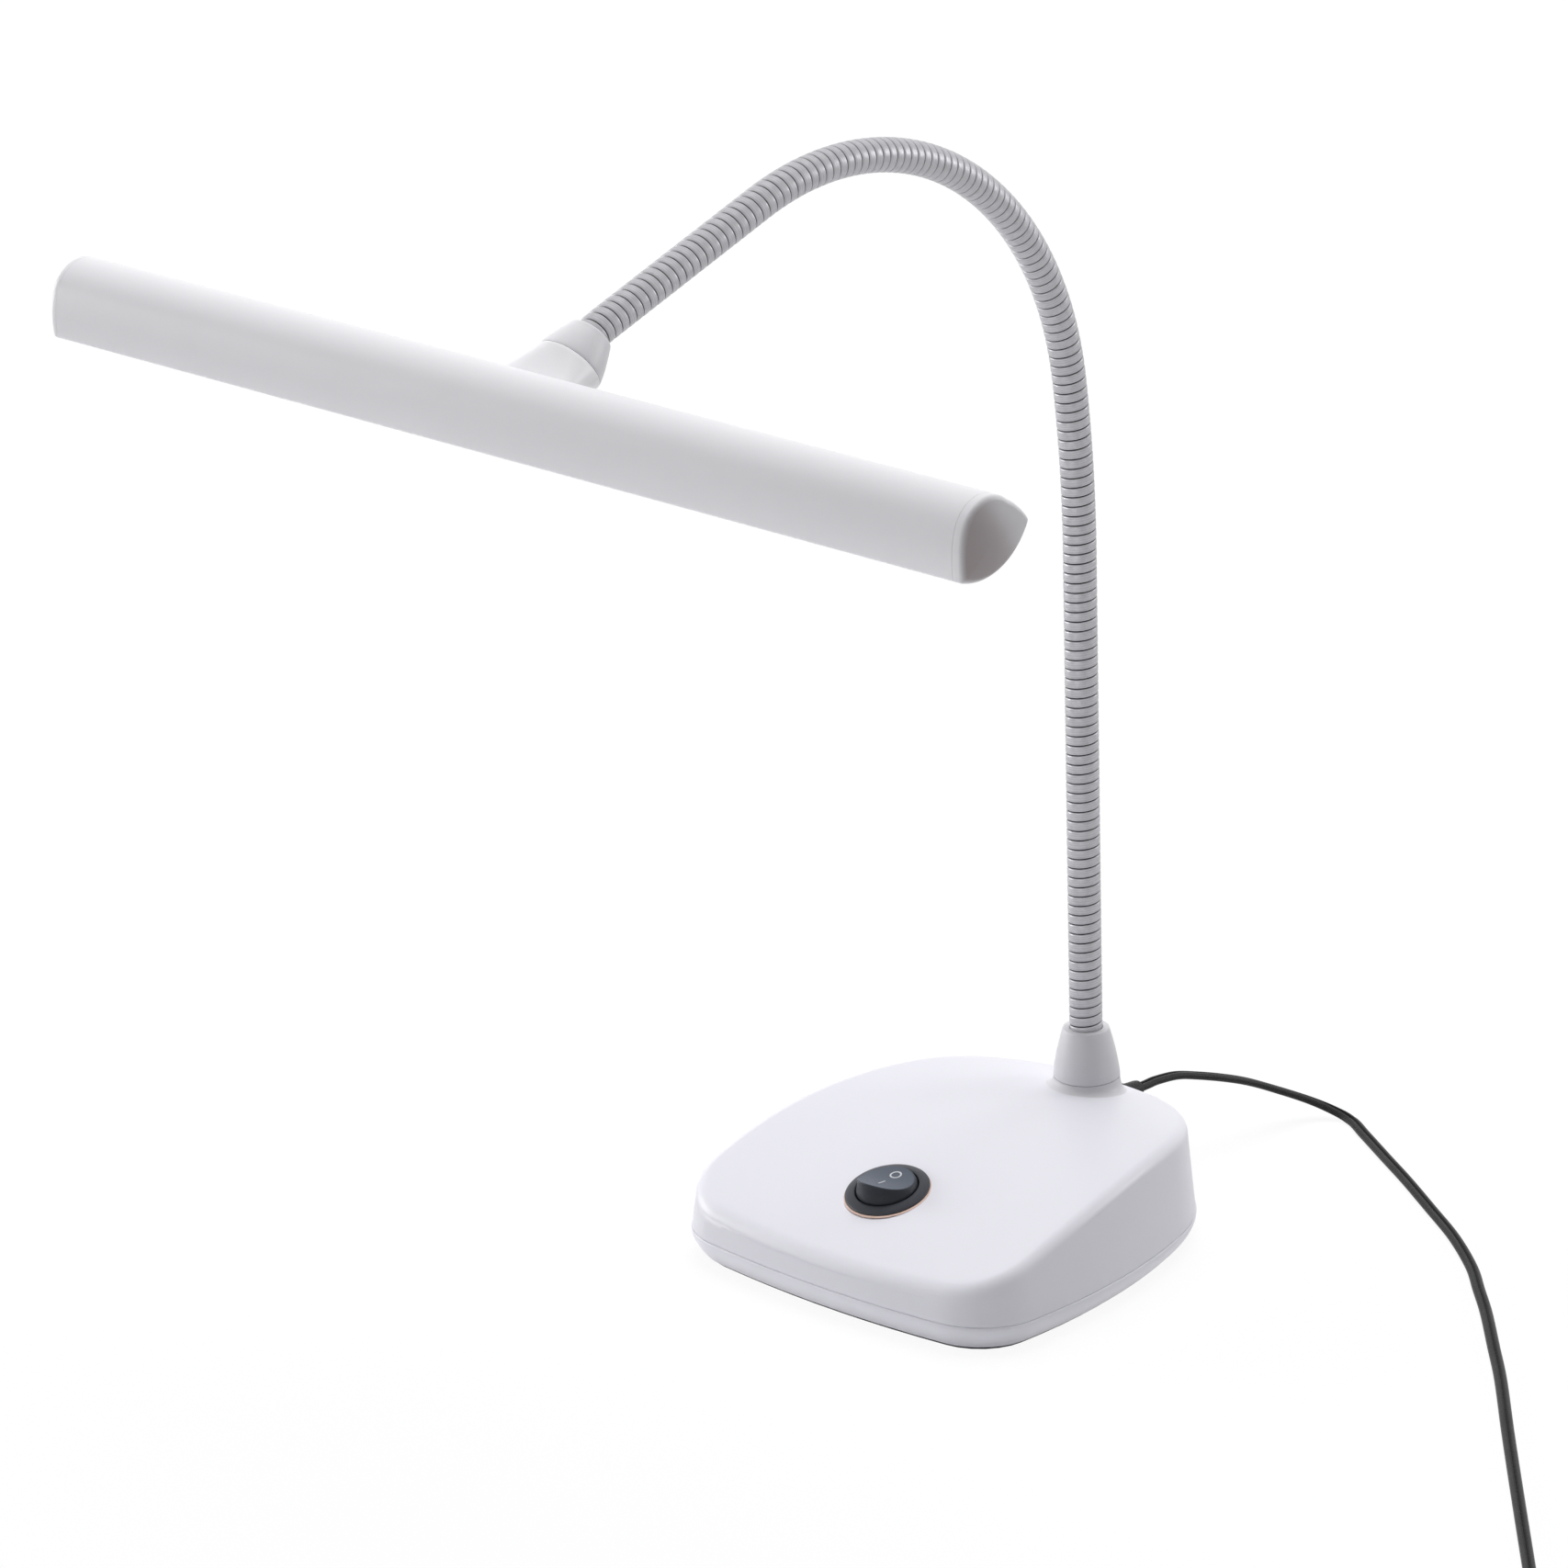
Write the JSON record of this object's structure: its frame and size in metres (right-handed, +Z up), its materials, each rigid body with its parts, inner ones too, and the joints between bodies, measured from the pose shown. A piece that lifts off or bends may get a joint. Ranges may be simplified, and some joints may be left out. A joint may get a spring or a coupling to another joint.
{
  "type": "piano lamp",
  "caption": "Weighted desk lamp with a round rocker switch, a wound gooseneck rising from the back of the base and a long horizontal LED head; its lead ends in a plug-in adapter.",
  "frame": {"origin": "on the underside of the pad, under the middle of the base", "axes": "+Z up, +X along the head, +Y to the back of the lamp"},
  "size_m": [0.5184, 0.3513, 0.3148],
  "materials": {
    "white_plastic": "satin",
    "collar_plastic": "satin",
    "neck_steel": "satin",
    "plated_steel": "bright zinc",
    "ballast_iron": "painted",
    "foam_pad": "matte",
    "switch_black": "satin",
    "rocker_black": "satin",
    "terminal_brass": "bright",
    "milky_lens": "satin",
    "board_green": "satin",
    "board_white": "matte",
    "led_yellow": "gloss",
    "cord_black": "satin",
    "tie_grey": "matte",
    "adapter_black": "satin"
  },
  "bodies": {
    "base": {"base_housing": "white_plastic", "base_plate": "white_plastic", "foot_pad": "foam_pad", "ballast_plate": "ballast_iron", "ballast_screws": "plated_steel", "base_screws": "plated_steel", "driver_board": "board_green", "board_screws": "plated_steel", "switch_body": "switch_black", "switch_terminals": "terminal_brass", "neck_boot": "collar_plastic", "neck_nipple": "plated_steel", "neck_washer": "plated_steel", "neck_nut": "plated_steel", "neck_seg_01": "neck_steel", "cord_gland": "cord_black", "cord_run": "cord_black", "cord_coil": "cord_black", "cord_tie": "tie_grey", "cord_tail": "cord_black", "adapter_body": "adapter_black", "adapter_pins": "plated_steel"},
    "rocker": {"switch_rocker": "rocker_black"},
    "neck_02": {"neck_seg_02": "neck_steel"},
    "neck_03": {"neck_seg_03": "neck_steel"},
    "neck_04": {"neck_seg_04": "neck_steel"},
    "neck_05": {"neck_seg_05": "neck_steel"},
    "neck_06": {"neck_seg_06": "neck_steel"},
    "neck_07": {"neck_seg_07": "neck_steel"},
    "neck_08": {"neck_seg_08": "neck_steel"},
    "neck_09": {"neck_seg_09": "neck_steel"},
    "neck_10": {"neck_seg_10": "neck_steel"},
    "head": {"neck_seg_11": "neck_steel", "neck_cap": "collar_plastic", "neck_ferrule": "plated_steel", "head_shell": "white_plastic", "head_lens": "milky_lens", "led_board": "board_white", "leds": "led_yellow", "head_end_left": "white_plastic", "head_end_right": "white_plastic"}
  },
  "joints": [
    {"name": "switch_rock", "type": "hinge", "parent": "base", "child": "rocker", "pos_m": [0, -0.03225, 0.02589], "axis": [1, 0, 0], "range_deg": [0, 20]},
    {"name": "neck_bend_01", "type": "hinge", "parent": "base", "child": "neck_02", "pos_m": [0, 0.04754, 0.0758], "axis": [1, 0, 0], "range_deg": [-14, 14]},
    {"name": "neck_bend_02", "type": "hinge", "parent": "neck_02", "child": "neck_03", "pos_m": [0, 0.04609, 0.11357], "axis": [1, 0, 0], "range_deg": [-14, 14]},
    {"name": "neck_sway_03", "type": "hinge", "parent": "neck_03", "child": "neck_04", "pos_m": [0, 0.04464, 0.15135], "axis": [0, 0.9993, 0.0384], "range_deg": [-14, 14]},
    {"name": "neck_bend_04", "type": "hinge", "parent": "neck_04", "child": "neck_05", "pos_m": [0, 0.04317, 0.18912], "axis": [1, 0, 0], "range_deg": [-14, 14]},
    {"name": "neck_bend_05", "type": "hinge", "parent": "neck_05", "child": "neck_06", "pos_m": [0, 0.03931, 0.2267], "axis": [1, 0, 0], "range_deg": [-15, 8]},
    {"name": "neck_sway_06", "type": "hinge", "parent": "neck_06", "child": "neck_07", "pos_m": [0, 0.02813, 0.26258], "axis": [0, 0.8773, 0.4799], "range_deg": [-14, 14]},
    {"name": "neck_bend_07", "type": "hinge", "parent": "neck_07", "child": "neck_08", "pos_m": [0, 0.0038, 0.29116], "axis": [1, 0, 0], "range_deg": [-15, 8]},
    {"name": "neck_bend_08", "type": "hinge", "parent": "neck_08", "child": "neck_09", "pos_m": [0, -0.02991, 0.30769], "axis": [1, 0, 0], "range_deg": [-15, 8]},
    {"name": "neck_sway_09", "type": "hinge", "parent": "neck_09", "child": "neck_10", "pos_m": [0, -0.0674, 0.30943], "axis": [0, -0.1576, 0.9875], "range_deg": [-14, 14]},
    {"name": "neck_bend_10", "type": "hinge", "parent": "neck_10", "child": "head", "pos_m": [0, -0.10353, 0.29849], "axis": [1, 0, 0], "range_deg": [-12, 12]}
  ]
}
